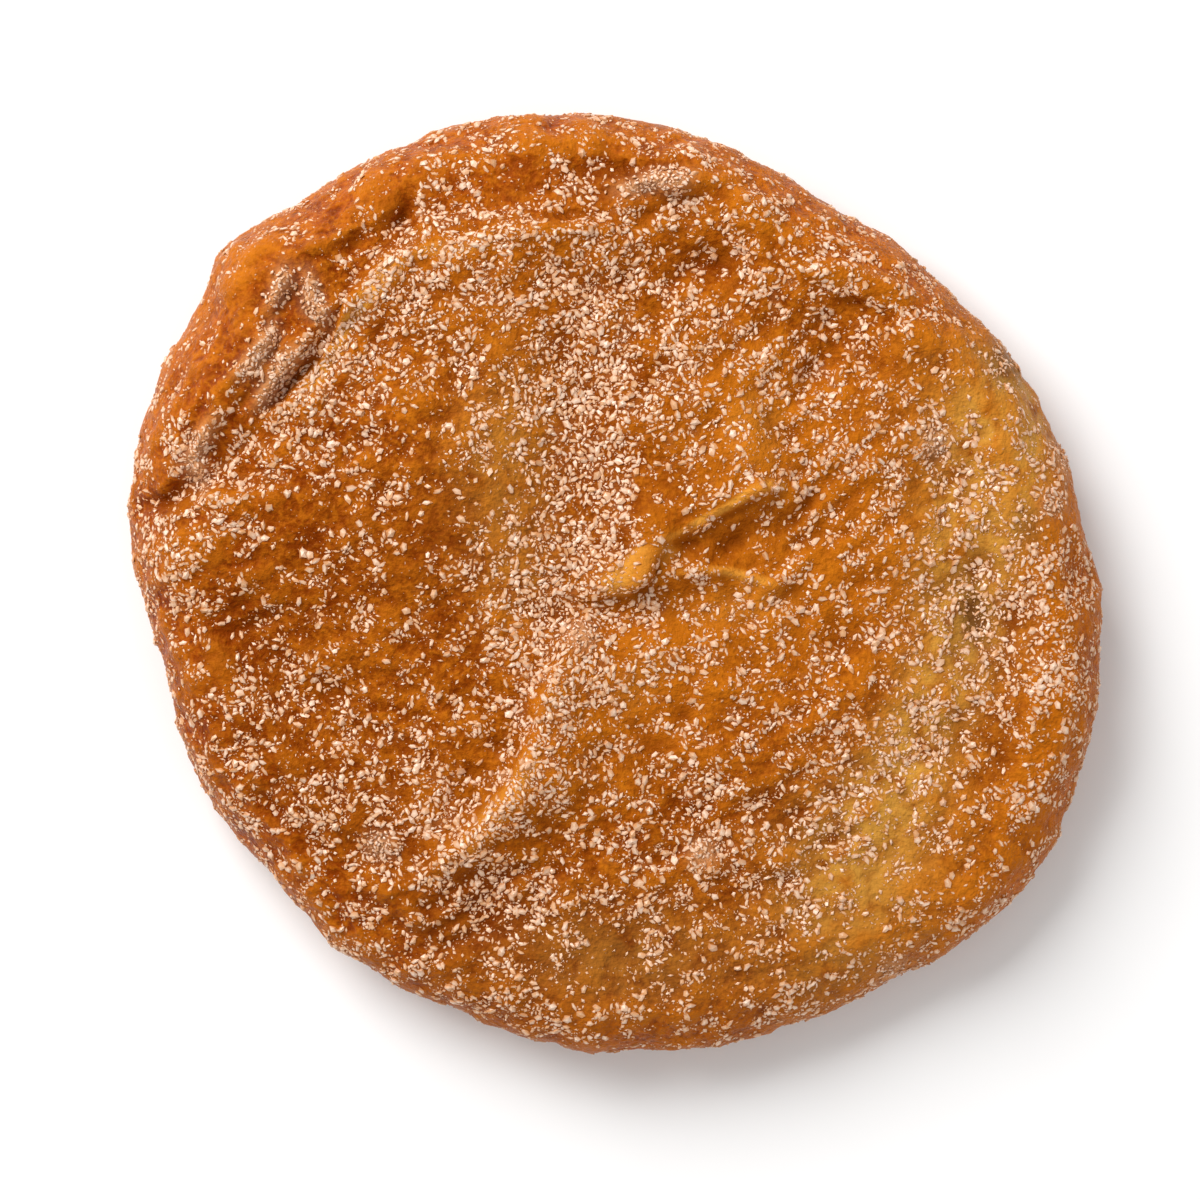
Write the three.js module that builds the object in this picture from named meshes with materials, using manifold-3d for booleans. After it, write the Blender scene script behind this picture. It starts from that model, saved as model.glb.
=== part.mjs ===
// An apple fritter: one flat round of fried dough with a rolled rim, puffed pillows, folds and creases,
// and lumps of sugar stuck to its crust. Millimetres, +Z up. The origin is under the middle of the round,
// on the surface that it lies on. +Y points to the far edge as the fritter is seen from above.
import * as THREE from "three";
import { mergeVertices } from "three/addons/utils/BufferGeometryUtils.js";
import Module from "manifold-3d";

// Outline seen from above: a slightly oval round with a few lobes (positive reach) and flats (negative reach).
const MEAN_RADIUS = 55.1;
const OVAL_REACH = 2.9;
const OVAL_TURN = 142;
const LOBES = [
  { at: 139, reach: 2.4, spread: 4 }, // knuckle where the rim is pinched over
  { at: 127, reach: -1.0, spread: 8 },
  { at: 147, reach: -1.1, spread: 4 },
  { at: 160, reach: 0.3, spread: 8 },
  { at: 188, reach: -2.0, spread: 6 },
  { at: 58, reach: -1.5, spread: 14 },
  { at: 26, reach: 0.5, spread: 9 },
  { at: 326, reach: 2.1, spread: 10 },
  { at: 352, reach: 1.0, spread: 10 },
  { at: 299, reach: -1.2, spread: 9 },
  { at: 237, reach: 0.7, spread: 8 },
  { at: 263, reach: 0.8, spread: 6 },
];

// Section from the middle out: the top, a round shoulder, a round heel and the flat underside. The heel takes
// the lobes back in, so the underside is a plain oval.
const TOP_LEVEL = 13.6;
const DOME_RISE = 1.2;
const WAIST_LEVEL = 6.2;
const SHOULDER_DEPTH = 7;
const HEEL_DEPTH = 8.5;

// The side is uneven: around the fritter its waist wanders up and down, and its shoulder and heel in and out.
const WAIST_WAVES = [
  { turns: 3, phase: 40, reach: 0.9 },
  { turns: 7, phase: 200, reach: 0.5 },
];
const SHOULDER_WAVES = [
  { turns: 2, phase: 100, reach: 0.8 },
  { turns: 5, phase: 10, reach: 0.7 },
];
const HEEL_WAVES = [
  { turns: 4, phase: 70, reach: 1.2 },
  { turns: 9, phase: 150, reach: 0.6 },
];

// Rolled rim: a low roll all the way round, fullest at the upper left and lowest at the lower left.
const RIM_INSET = 6.5;
const RIM_SPREAD = 4;
const RIM_RISE = 0.9;
const RIM_SWELLS = [
  { at: 138, reach: 2.0, spread: 32 },
  { at: 75, reach: 0.5, spread: 15 },
  { at: 5, reach: 0.7, spread: 30 },
  { at: 235, reach: -0.9, spread: 25 },
  { at: 300, reach: -0.5, spread: 20 },
];

// Pillows (positive rise) and hollows (negative rise), each a soft oval turned from +X by its turn.
const MOUNDS = [
  { x: -12, y: 24, along: 40, across: 24, turn: 20, rise: 1.3 },
  { x: 26, y: -34, along: 26, across: 18, turn: 35, rise: -1.2 },
  { x: -24, y: 14, along: 15, across: 11, turn: 40, rise: 2.3 },
  { x: -14, y: 33, along: 13, across: 5, turn: 8, rise: 1.0 },
  { x: 13, y: 21, along: 9, across: 8, turn: 0, rise: 1.2 },
  { x: 33, y: 17, along: 10, across: 6, turn: 75, rise: 1.0 },
  { x: 14, y: -20, along: 20, across: 12, turn: 20, rise: 0.9 },
  { x: -29, y: -23, along: 10, across: 6, turn: -30, rise: 1.0 },
  { x: -37, y: -8, along: 11, across: 4.5, turn: -32, rise: -1.8 },
  { x: -15, y: -35, along: 6, across: 4, turn: 30, rise: -1.7 },
  { x: 13, y: 5.2, along: 6.5, across: 2.1, turn: 20, rise: -2.0 },
  { x: 23.5, y: 25, along: 7, across: 3, turn: 75, rise: -1.1 },
  { x: -4, y: 17, along: 14, across: 4, turn: 84, rise: -0.9 },
  { x: 43, y: -1, along: 14, across: 4, turn: 96, rise: -1.2 },
  { x: 11.5, y: 36.5, along: 3.6, across: 1.8, turn: 5, rise: -2.3 },
];

// Folds (positive rise) and creases (negative rise) along curves. left and right are the widths of the two
// flanks, as seen by someone who walks the path from its first point.
const CREASES = [
  {
    // deep crease between the rolled rim and the left pillow
    path: [[-52, 8], [-46, 14], [-40, 20.5], [-35, 26.5], [-32, 32], [-28.5, 37.5], [-23.5, 43]],
    rise: -2.3,
    left: 3.6,
    right: 1.8,
  },
  { path: [[-24, 44], [-15, 47.5], [-6, 47.5], [3, 46.5], [11, 44.5]], rise: -1.7, left: 2.4, right: 2.6 },
  { path: [[-30, 33], [-26, 36.5], [-20, 39], [-12, 40.5], [-3, 40]], rise: 1.2, left: 1.8, right: 4 },
  // upper lip, lower lip and trough of the fold in the middle
  { path: [[2.5, 2.4], [5.5, 5], [10, 7.5], [15, 9.5], [21, 10.2]], rise: 1.8, left: 3.6, right: 1.4 },
  { path: [[-3, -1.2], [2, 0.6], [7, 2], [12, 2], [17, 0.6]], rise: 1.4, left: 1.5, right: 1.8 },
  { path: [[-4, -3.5], [1, -3.2], [7, -2.2], [12, -2.5]], rise: -1.5, left: 1.8, right: 1.9 },
  {
    // long ridge that runs from the fold down to the lower left
    path: [[-2, -6.5], [-7, -10], [-8.8, -16], [-10, -22], [-14, -28], [-20, -33], [-27, -37]],
    rise: 1.9,
    left: 5,
    right: 2,
  },
  { path: [[-46, 7], [-41, -1], [-35, -7], [-28, -9.5]], rise: 1.0, left: 3.5, right: 1.8 },
  { path: [[-56, 8.5], [-50, 9.5], [-45, 11.5]], rise: -1.6, left: 1.7, right: 1.7 },
  { path: [[18, 36], [25, 36.6], [33, 35.4], [39, 31]], rise: 1.2, left: 1.7, right: 3 },
  { path: [[20, 39.2], [27, 38.8], [34, 37]], rise: -1.1, left: 1.6, right: 1.5 },
  // sugared wrinkles in the deep crease and on the upper rim
  { path: [[-47.5, 18], [-42, 23.5], [-37.5, 30]], rise: 1.2, left: 1.5, right: 1.5 },
  { path: [[-35.6, 36], [-34.6, 32.5], [-35, 28.5]], rise: 1.5, left: 1.4, right: 1.4 },
  { path: [[-0.5, 44.8], [4, 45.5], [9, 46.8]], rise: 1.3, left: 1.4, right: 1.5 },
];
const END_TAPER = 0.22;
const PATH_STEPS = 24;

// Lumps of sugar, spread over the top by the golden angle, each a little astray.
const LUMP_COUNT = 46;
const LUMP_SIZE = 1.05;
const LUMP_SIZE_RANGE = 0.25;
const LUMP_SIZE_RATE = 5;
const LUMP_STRETCH = new THREE.Vector3(1.35, 1, 0.95);
const LUMP_TURN = 2.4;
const LUMP_SINK = 0.35;
const LUMP_REACH = 0.93;
const LUMP_STRAY = 0.25;
const LUMP_STRAY_RATE = 3.3;
const GOLDEN_TURN = Math.PI * (3 - Math.sqrt(5));

// Fineness of the skin, and the shares of it that the top, shoulder, heel and underside take.
const SKIN_DETAIL = 21;
const TOP_SHARE = 0.63;
const SHOULDER_SHARE = 0.2;
const HEEL_SHARE = 0.09;
const BASE_SHARE = 1 - TOP_SHARE - SHOULDER_SHARE - HEEL_SHARE;

const wasm = await Module();
wasm.setup();

// A bell that is 1 at zero and falls off over the given spread.
function bell(distance, spread) {
  return Math.exp(-((distance / spread) ** 2) / 2);
}

// Sum of lobes at an angle in radians, each lobe a bell around its own angle in degrees.
function lobesAt(angle, lobes) {
  let sum = 0;
  for (const lobe of lobes) {
    const apart = angle - THREE.MathUtils.degToRad(lobe.at);
    const wrapped = Math.atan2(Math.sin(apart), Math.cos(apart));
    sum += lobe.reach * bell(THREE.MathUtils.radToDeg(wrapped), lobe.spread);
  }
  return sum;
}

function outlineRadius(angle) {
  const oval = OVAL_REACH * Math.cos(2 * (angle - THREE.MathUtils.degToRad(OVAL_TURN)));
  return MEAN_RADIUS + oval + lobesAt(angle, LOBES);
}

// Sum of waves at an angle in radians, each with its number of turns around the fritter.
function wavesAt(angle, waves) {
  let sum = 0;
  for (const wave of waves) {
    sum += wave.reach * Math.sin(wave.turns * angle + THREE.MathUtils.degToRad(wave.phase));
  }
  return sum;
}

function moundHeight(mound, x, y) {
  const turn = THREE.MathUtils.degToRad(mound.turn);
  const dx = x - mound.x;
  const dy = y - mound.y;
  const along = dx * Math.cos(turn) + dy * Math.sin(turn);
  const across = dy * Math.cos(turn) - dx * Math.sin(turn);
  return mound.rise * bell(along, mound.along) * bell(across, mound.across);
}

// The points of a crease along a smooth curve through its path.
function creaseLine(crease) {
  const corners = crease.path.map(([x, y]) => new THREE.Vector3(x, y, 0));
  return new THREE.CatmullRomCurve3(corners).getSpacedPoints(PATH_STEPS);
}

// Height that a crease adds at a point, from the nearest place on its line: the flank's width depends on the
// side, and the crease fades out towards both ends.
function creaseHeight(crease, line, x, y) {
  let nearest = Infinity;
  let side = 0;
  let share = 0;
  for (let i = 0; i < PATH_STEPS; i++) {
    const from = line[i];
    const stepX = line[i + 1].x - from.x;
    const stepY = line[i + 1].y - from.y;
    const dot = (x - from.x) * stepX + (y - from.y) * stepY;
    const t = THREE.MathUtils.clamp(dot / (stepX * stepX + stepY * stepY), 0, 1);
    const offX = x - from.x - t * stepX;
    const offY = y - from.y - t * stepY;
    const distance = Math.hypot(offX, offY);
    if (distance < nearest) {
      nearest = distance;
      side = stepX * offY - stepY * offX;
      share = (i + t) / PATH_STEPS;
    }
  }
  const width = side > 0 ? crease.left : crease.right;
  const fadeIn = THREE.MathUtils.smoothstep(share, -END_TAPER / 2, END_TAPER);
  const fadeOut = THREE.MathUtils.smoothstep(1 - share, -END_TAPER / 2, END_TAPER);
  return crease.rise * bell(nearest, width) * fadeIn * fadeOut;
}

const creaseLines = CREASES.map(creaseLine);

// Height of the upper crust above the surface that the fritter lies on.
function crustHeight(x, y) {
  const angle = Math.atan2(y, x);
  const radius = Math.hypot(x, y);
  const outline = outlineRadius(angle);
  const rimRise = RIM_RISE + lobesAt(angle, RIM_SWELLS);
  let height = TOP_LEVEL + DOME_RISE * (1 - (radius / outline) ** 2);
  height += rimRise * bell(outline - RIM_INSET - radius, RIM_SPREAD);
  for (const mound of MOUNDS) height += moundHeight(mound, x, y);
  CREASES.forEach((crease, i) => {
    height += creaseHeight(crease, creaseLines[i], x, y);
  });
  return height;
}

// Moves a point of a unit ball to its place on the fritter's skin. The ball's height says how far from the
// middle of the top the point is, by the skin's shares, so that most triangles lie on the top.
function placeOnSkin(point) {
  const angle = Math.atan2(point.y, point.x);
  const outline = outlineRadius(angle);
  const waist = WAIST_LEVEL + wavesAt(angle, WAIST_WAVES);
  const shoulder = SHOULDER_DEPTH + wavesAt(angle, SHOULDER_WAVES);
  const heel = HEEL_DEPTH + wavesAt(angle, HEEL_WAVES) + lobesAt(angle, LOBES);
  const share = (1 - point.z) / 2;
  let radius;
  let lift = 1;
  let onTop = true;
  if (share <= TOP_SHARE) {
    radius = (outline - shoulder) * Math.sqrt(share / TOP_SHARE);
  } else if (share <= TOP_SHARE + SHOULDER_SHARE) {
    const bend = ((share - TOP_SHARE) / SHOULDER_SHARE) * (Math.PI / 2);
    radius = outline - shoulder * (1 - Math.sin(bend));
    lift = Math.cos(bend);
  } else if (share <= 1 - BASE_SHARE) {
    const bend = ((share - TOP_SHARE - SHOULDER_SHARE) / HEEL_SHARE) * (Math.PI / 2);
    radius = outline - heel * (1 - Math.cos(bend));
    lift = Math.sin(bend);
    onTop = false;
  } else {
    radius = (outline - heel) * Math.sqrt((1 - share) / BASE_SHARE);
    onTop = false;
  }
  const x = radius * Math.cos(angle);
  const y = radius * Math.sin(angle);
  const z = onTop ? waist + (crustHeight(x, y) - waist) * lift : waist * (1 - lift);
  return point.set(x, y, z);
}

// A closed geometry with only positions and shared vertices.
function bareGeometry(geometry) {
  geometry.deleteAttribute("normal");
  geometry.deleteAttribute("uv");
  return mergeVertices(geometry, 1e-5);
}

function doughGeometry() {
  const geometry = bareGeometry(new THREE.IcosahedronGeometry(1, SKIN_DETAIL));
  const positions = geometry.getAttribute("position");
  const point = new THREE.Vector3();
  for (let i = 0; i < positions.count; i++) {
    placeOnSkin(point.fromBufferAttribute(positions, i));
    positions.setXYZ(i, point.x, point.y, point.z);
  }
  return geometry;
}

// One lump of sugar, a rough pebble half sunk in the crust. Its number sets its place, size and turn.
function lumpGeometry(number) {
  const angle = number * GOLDEN_TURN + LUMP_STRAY * Math.sin(LUMP_STRAY_RATE * number);
  const reach = LUMP_REACH * Math.sqrt((number + 0.5) / LUMP_COUNT);
  const radius = reach * (outlineRadius(angle) - SHOULDER_DEPTH / 2);
  const x = radius * Math.cos(angle);
  const y = radius * Math.sin(angle);
  const size = LUMP_SIZE + LUMP_SIZE_RANGE * Math.sin(LUMP_SIZE_RATE * number);
  const lump = bareGeometry(new THREE.IcosahedronGeometry(size, 0));
  lump.scale(LUMP_STRETCH.x, LUMP_STRETCH.y, LUMP_STRETCH.z);
  lump.rotateZ(LUMP_TURN * number);
  lump.translate(x, y, crustHeight(x, y) - LUMP_SINK);
  return lump;
}

function solidOf(geometry) {
  return new wasm.Manifold(
    new wasm.Mesh({
      numProp: 3,
      vertProperties: new Float32Array(geometry.getAttribute("position").array),
      triVerts: new Uint32Array(geometry.index.array),
    }),
  );
}

function geometryOf(solid) {
  const mesh = solid.getMesh();
  return new THREE.BufferGeometry()
    .setAttribute("position", new THREE.BufferAttribute(mesh.vertProperties, 3))
    .setIndex(new THREE.BufferAttribute(mesh.triVerts, 1));
}

// Puts the origin under the middle of the box, on the underside.
function standOnOrigin(geometry) {
  geometry.computeBoundingBox();
  const middle = geometry.boundingBox.getCenter(new THREE.Vector3());
  return geometry.translate(-middle.x, -middle.y, -geometry.boundingBox.min.z);
}

function fritterGeometry() {
  let solid = solidOf(doughGeometry());
  for (let number = 0; number < LUMP_COUNT; number++) solid = solid.add(solidOf(lumpGeometry(number)));
  return standOnOrigin(geometryOf(solid));
}

const crust = new THREE.MeshStandardMaterial({ color: 0xa65918, roughness: 0.6, metalness: 0 });
const fritter = new THREE.Mesh(fritterGeometry(), crust);
fritter.name = "fritter";

const part = new THREE.Group();
part.add(fritter);

export default part;
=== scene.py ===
import math
from collections import namedtuple

import bpy
import numpy as np
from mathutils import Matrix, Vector, noise


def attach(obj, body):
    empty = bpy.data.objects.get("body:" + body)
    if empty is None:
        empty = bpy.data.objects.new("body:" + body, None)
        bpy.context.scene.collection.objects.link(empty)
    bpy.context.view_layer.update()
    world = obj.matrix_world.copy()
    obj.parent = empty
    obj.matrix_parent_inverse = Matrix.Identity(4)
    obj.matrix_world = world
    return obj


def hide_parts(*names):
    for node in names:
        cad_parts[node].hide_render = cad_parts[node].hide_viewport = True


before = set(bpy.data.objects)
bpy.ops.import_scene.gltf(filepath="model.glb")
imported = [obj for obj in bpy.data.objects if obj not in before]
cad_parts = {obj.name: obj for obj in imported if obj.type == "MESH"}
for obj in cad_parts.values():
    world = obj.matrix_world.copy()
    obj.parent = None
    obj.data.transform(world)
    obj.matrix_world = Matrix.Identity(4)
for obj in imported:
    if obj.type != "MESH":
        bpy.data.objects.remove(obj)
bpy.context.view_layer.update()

MM = 0.001
SEED = 7

# The photograph: its frame, the fritter's width in it and the pixel at the middle of the fritter.
PHOTO_PIXELS = 1200
FRITTER_WIDTH = 114.0
FRITTER_PIXELS = 980
MIDDLE_PIXEL = (615.5, 583.0)
WIDEST_LEVEL = 7.0
LENS = 120.0
SENSOR = 36.0

# Fineness of the crust: doubles merge, the skin is remeshed and smoothed, and faces within the margin of
# a fold are divided where the fold has more than its edge strength.
MERGE_DISTANCE = 0.01
SKIN_STEP = 0.6
SKIN_SMOOTHING = dict(factor=0.5, iterations=4)
LAST_SMOOTHING = dict(factor=0.5, iterations=1)
FOLD_MARGIN = 1.6
FOLD_EDGE = 0.13

# The underside stands on the sugar below it: its level, how much of its unevenness is left, and the lowest
# levels of crust and sugar.
UNDERSIDE_LIFT = 0.35
UNDERSIDE_UNEVEN = 0.35
LOWEST_CRUST = 0.05
LOWEST_SUGAR = 0.02

# How far the skin faces up, as the height of its normal, where folds come in, where the top's browning,
# painted shade and painted light do and where the top's sugar does. The last is how far it faces down where
# the underside's sugar does.
FOLDED_SKIN = (0.0, 0.5)
PATCHED_TOP = (-0.2, 0.3)
SUGARED_TOP = (0.35, 0.9)
SUGARED_BASE = (0.5, 0.9)

# Paths of folds that also fry to gold or hold sugar.
INNER_RIDGE = [(-41, 20), (-38, 23.9), (-35.9, 26.7), (-34.6, 29)]
OUTER_RIDGE = [(-47.5, 16.5), (-46.1, 20), (-42.9, 23.4), (-40, 26.7), (-38.7, 29.8)]
LEFT_RIDGE = [(-47.6, 10.7), (-48.3, 14.6), (-45.6, 18.6), (-42.4, 21.4)]
SHORT_RIDGE = [(-39.2, 31.6), (-38.4, 33.4), (-37.2, 35.6)]
FINGER = [(-35, 35.2), (-34.6, 32.2), (-33.4, 29.4)]
NOTCH_FOLD = [(-51.3, 8), (-48.2, 10), (-44.1, 9.8), (-39.9, 10.2), (-36, 11)]
LOWER_LIP = [(5.2, 0.9), (9.1, 1.7), (12.9, 1.3), (15.4, 0.7), (18, 0)]
LONG_RIDGE = [(-4.5, -5.5), (-6.6, -11), (-8.8, -17.5), (-11.6, -23.5),
              (-16, -29), (-21.5, -33.6), (-26, -36)]
UPPER_RIM_FOLD = [(0, 44.8), (4, 45.6), (8.5, 46.6)]

# Fine folds (positive rise) and creases (negative rise) along curves. left and right are the widths of
# the two flanks as seen by someone who walks the path, and lean pushes the fold over to the right.
Fold = namedtuple("Fold", "path rise left right lean", defaults=[0])
FOLDS = [
    # bottom of the deep crease, and the edge of the pillow beside it
    Fold([(-40, 19.6), (-36.8, 22.2), (-35, 24.6), (-33.1, 27.6), (-31.6, 30.8), (-30, 34.5)],
         rise=-0.5, left=0.6, right=0.45),
    Fold([(-40.8, 17.4), (-38.2, 19.4), (-35.4, 22), (-32.6, 26.4), (-30.4, 30.8), (-27.4, 35.2)],
         rise=1.6, left=0.8, right=2.4, lean=-0.3),
    # flank that fills the crease, the ridges that fan out on it and the line between them
    Fold([(-46.6, 14.5), (-40.6, 21), (-35.6, 27), (-32.7, 32.4), (-29.3, 37.9)],
         rise=2.6, left=2.4, right=1.6),
    Fold(INNER_RIDGE, rise=0.7, left=0.7, right=0.6),
    Fold(OUTER_RIDGE, rise=0.4, left=0.7, right=0.7),
    Fold(LEFT_RIDGE, rise=0.4, left=0.6, right=0.6),
    Fold([(-43, 21.4), (-40.3, 24.4), (-38.2, 27.6), (-36.4, 30.6), (-36.1, 34.6)],
         rise=-0.4, left=0.6, right=0.5),
    Fold(SHORT_RIDGE, rise=0.7, left=0.7, right=0.6),
    Fold(FINGER, rise=1.1, left=0.6, right=0.6),
    Fold([(-36.2, 37.4), (-32.6, 39), (-28.6, 41)], rise=0.6, left=0.8, right=0.8),
    # notch on the left and the fold below it
    Fold([(-54.5, 8.8), (-51.5, 9.2), (-49, 10.6)], rise=-1.6, left=0.7, right=0.6),
    Fold(NOTCH_FOLD, rise=1.0, left=0.6, right=1.6),
    # upper edge of the pillow and the valley behind it
    Fold([(-30, 33.5), (-25, 36.6), (-19, 38.6), (-11, 40), (-3, 40.2), (4, 39.4)],
         rise=1.1, left=0.8, right=2.4),
    Fold([(-28, 37.4), (-24.5, 41), (-19, 42.6), (-12, 43.4)], rise=-0.9, left=1, right=0.9),
    Fold([(-26, 39.5), (-24, 43), (-22.5, 46)], rise=-0.9, left=0.8, right=0.8),
    # tongue of the middle fold, its upper lip, the pocket's floor, the lower lip and the floor below that
    Fold([(-4.4, -1.9), (-1.6, -1.5), (1.2, -0.9), (3.5, 0.9), (4.6, 3.1), (5.3, 4.8)],
         rise=1.2, left=2.0, right=0.35, lean=0.2),
    Fold([(4.8, 4.9), (7.9, 5.9), (11.4, 7.3), (14.1, 9.1), (15.4, 9.8), (19.1, 10.4), (22, 10.6)],
         rise=0.7, left=1.0, right=0.4, lean=0.1),
    Fold([(7, 4.4), (11, 5.6), (15, 7.2), (19, 8.4), (22, 9)], rise=0.6, left=0.9, right=1.8),
    Fold(LOWER_LIP, rise=0.7, left=0.6, right=0.6),
    Fold([(-4, -2.9), (0, -3.1), (3, -2.5), (6, -2.1), (9.6, -2.7), (12, -2.6)],
         rise=0.3, left=0.8, right=1.2),
    # crest of the long ridge, the hollow on its left and the hook at its lower end
    Fold(LONG_RIDGE, rise=1.1, left=2.6, right=0.9),
    Fold([(-8.2, -8), (-10.4, -13.5), (-12.6, -19.5), (-15.8, -25), (-20, -29.5)],
         rise=-1.0, left=0.9, right=2),
    Fold([(-30, -33.6), (-26.5, -36), (-22, -38.4), (-17.5, -36)], rise=0.7, left=0.8, right=0.8),
    # folds on the upper rim, and the valley and the pit on the upper right
    Fold(UPPER_RIM_FOLD, rise=1.0, left=0.8, right=0.8),
    Fold([(0, 46.6), (4, 47.2), (8, 48)], rise=-0.5, left=0.7, right=0.7),
    Fold([(19, 19.5), (22.5, 24), (26, 28.5), (29, 33)], rise=-0.8, left=1.8, right=2.2),
    Fold([(4, 33), (8.5, 35.6), (13.5, 37.4)], rise=-0.4, left=1, right=1.2),
    # valley inside the lower left rim
    Fold([(-46, -14), (-41, -22), (-35, -29), (-28, -37)], rise=-0.7, left=1.2, right=1.2),
]

# How a fold fades out towards its ends, how many points smooth each span of its path, and how far from
# the path it is felt.
STROKE_TAPER = 0.3
STROKE_STEPS = 10
STROKE_REACH = 3.5

# Folds wander a little to the side and vary in height: the grain of both, how strong they are and where
# the clouds for the two directions of the wander are taken.
FOLD_GRAIN = 5.0
FOLD_WANDER = 0.8
FOLD_UNEVEN = 0.6
WANDER_SHIFTS = (100, 200)

# Crinkled places, each (x, y, length along, length across, turn, height), and how wide their crinkles are
# along and across the turn.
CRINKLES = [
    (-42, 22, 14, 5, 52, 0.8),
    (-34, 40, 9, 4, 35, 0.7),
    (3, 44, 12, 4, 8, 0.9),
    (-38, -26, 14, 6, -50, 0.9),
    (-18, -38, 9, 5, 25, 0.9),
    (-46, 0, 9, 7, 20, 0.8),
    (28, 36, 12, 4, -20, 0.8),
    (44, 0, 16, 5, 95, 0.7),
    (12, 5, 9, 3, 20, 0.25),
    (-22, 24, 12, 9, 45, 0.5),
    (20, -28, 14, 9, 30, 0.8),
    (24, 8, 12, 8, 40, 0.8),
    (-24, -14, 12, 7, -30, 0.7),
    (14, 28, 9, 8, 50, 0.8),
]
CRINKLE_WIDTHS = (5.5, 1.7)
LEAST_CRINKLE = 0.02

# Stretch lines along the rim and blisters on the top, spread by seeded draws.
RIM_LINES = 46
RIM_LINE_INSET = (1.5, 8.5)
RIM_LINE_SPAN = (6, 26)
RIM_LINE_RISE = 0.28
RIM_LINE_WIDTH = (0.4, 0.9)
RIM_LINE_POINTS = 5
BLISTERS = 110
BLISTER_SIZE = (0.9, 2.6)
BLISTER_RISE = (0.08, 0.3)

# Unevenness of the dough by layers of cloudy relief: grain of the clouds and height of the relief.
DOUGH_RELIEF = [(9.0, 1.8), (3.2, 0.8), (1.2, 0.25)]

# Patches on the top, each (x, y, length along, length across, turn, amount): more or less sugar, and dough
# that is golden, pale, ruddy, dark or scorched. A golden one is a painted highlight, and the dark ones are
# partly painted shade.
SUGAR_PATCHES = [
    (-3, 20, 15, 5, 88, 0.4),
    (-6, 35, 9, 5, 10, 0.3),
    (-6, -9, 4.5, 6, 0, 0.45),
    (46, -5, 11, 4, 95, 0.2),
    (34, 15, 6, 5, 0, 0.1),
    (-16, -33, 10, 6, -40, 0.05),
    (2, 47, 16, 4, 0, -0.15),
    (20, -22, 8, 7, 0, -0.1),
    (-45, -12, 8, 5, 80, -0.1),
    (-53, 3, 3, 7, 10, 0.4),
    (-35, 22, 11, 2, 55, 0.35),
    (-27, 22, 8, 4, 45, 0.05),
    (-33, 5, 10, 6, 20, -0.35),
    (-18, 9, 6, 5, 0, -0.25),
    (13, 5.5, 9, 3, 22, -0.35),
    (0.2, 0.6, 4.2, 1.6, 36, -0.65),
    (15, 13, 7, 5, 20, -0.25),
    (14, -1, 9, 4, 0, -0.3),
    (-15, 13, 7, 6, 0, -0.2),
    (14, 42, 8, 5, -10, 0.3),
    (-42, 0, 7, 6, 0, -0.05),
    (28, 27, 8, 6, 0, -0.12),
    (42, 0, 5, 8, 95, 0.2),
    (1, -3, 7, 5, 0, 0.5),
    (-5, 1, 9, 3.5, 80, 0.45),
    (15, 24, 6, 4, 0, 0.25),
    (0, 45, 12, 4, 0, -0.45),
    (2, -13, 8, 6, 0, -0.15),
    (42, -33, 9, 6, 45, -0.4),
    (10, -46, 13, 4, 5, -0.35),
    (-45, 33, 13, 6, 50, -1.15),
    (-24, -9, 7, 3.5, -20, -0.25),
    (24, 44, 11, 4, -25, -0.3),
    (50, 24, 8, 3.5, 110, -0.25),
    (43, 12, 4, 9, 10, -0.1),
    (5, -12, 6, 4, 0, -0.15),
    (-32, -30, 8, 5, -45, -0.25),
    (29, -28, 7, 7, 0, 0.12),
]
GOLDEN_PATCHES = [
    # painted highlight on the waxy nib at the end of the tongue
    (6, 3.4, 1.2, 1.2, 0, 0.5),
    (24, -4, 14, 8, 30, 0.3),
    (1, -13, 8, 6, 40, 0.6),
    (28, 15, 10, 8, 0, 0.3),
    (-47, 33, 13, 2.5, 50, 0.3),
    (-14, 33, 12, 4, 20, 0.3),
    (50, -16, 12, 4, 85, 0.3),
    (42, -28, 8, 6, 50, 0.15),
    (7, 43, 12, 5, -5, 0.25),
    (15, 22, 6, 5, 0, 0.4),
    (14, 13, 7, 6, 0, 0.4),
    (14, -2, 9, 4, 0, 0.4),
    (-14, -27, 6, 5, 0, 0.35),
]
PALE_PATCHES = [
    (-13, 15, 7, 4, 80, 0.4),
    (-11, 3, 5, 3, 80, 0.3),
    (28, -30, 8, 6, 40, 0.5),
    (44, 17, 5, 8, 0, 1.0),
    (40, 3, 4, 9, 10, 0.5),
    (28, -41, 8, 5, 40, 0.4),
    (0, -43, 9, 4, 0, 0.4),
]
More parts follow.
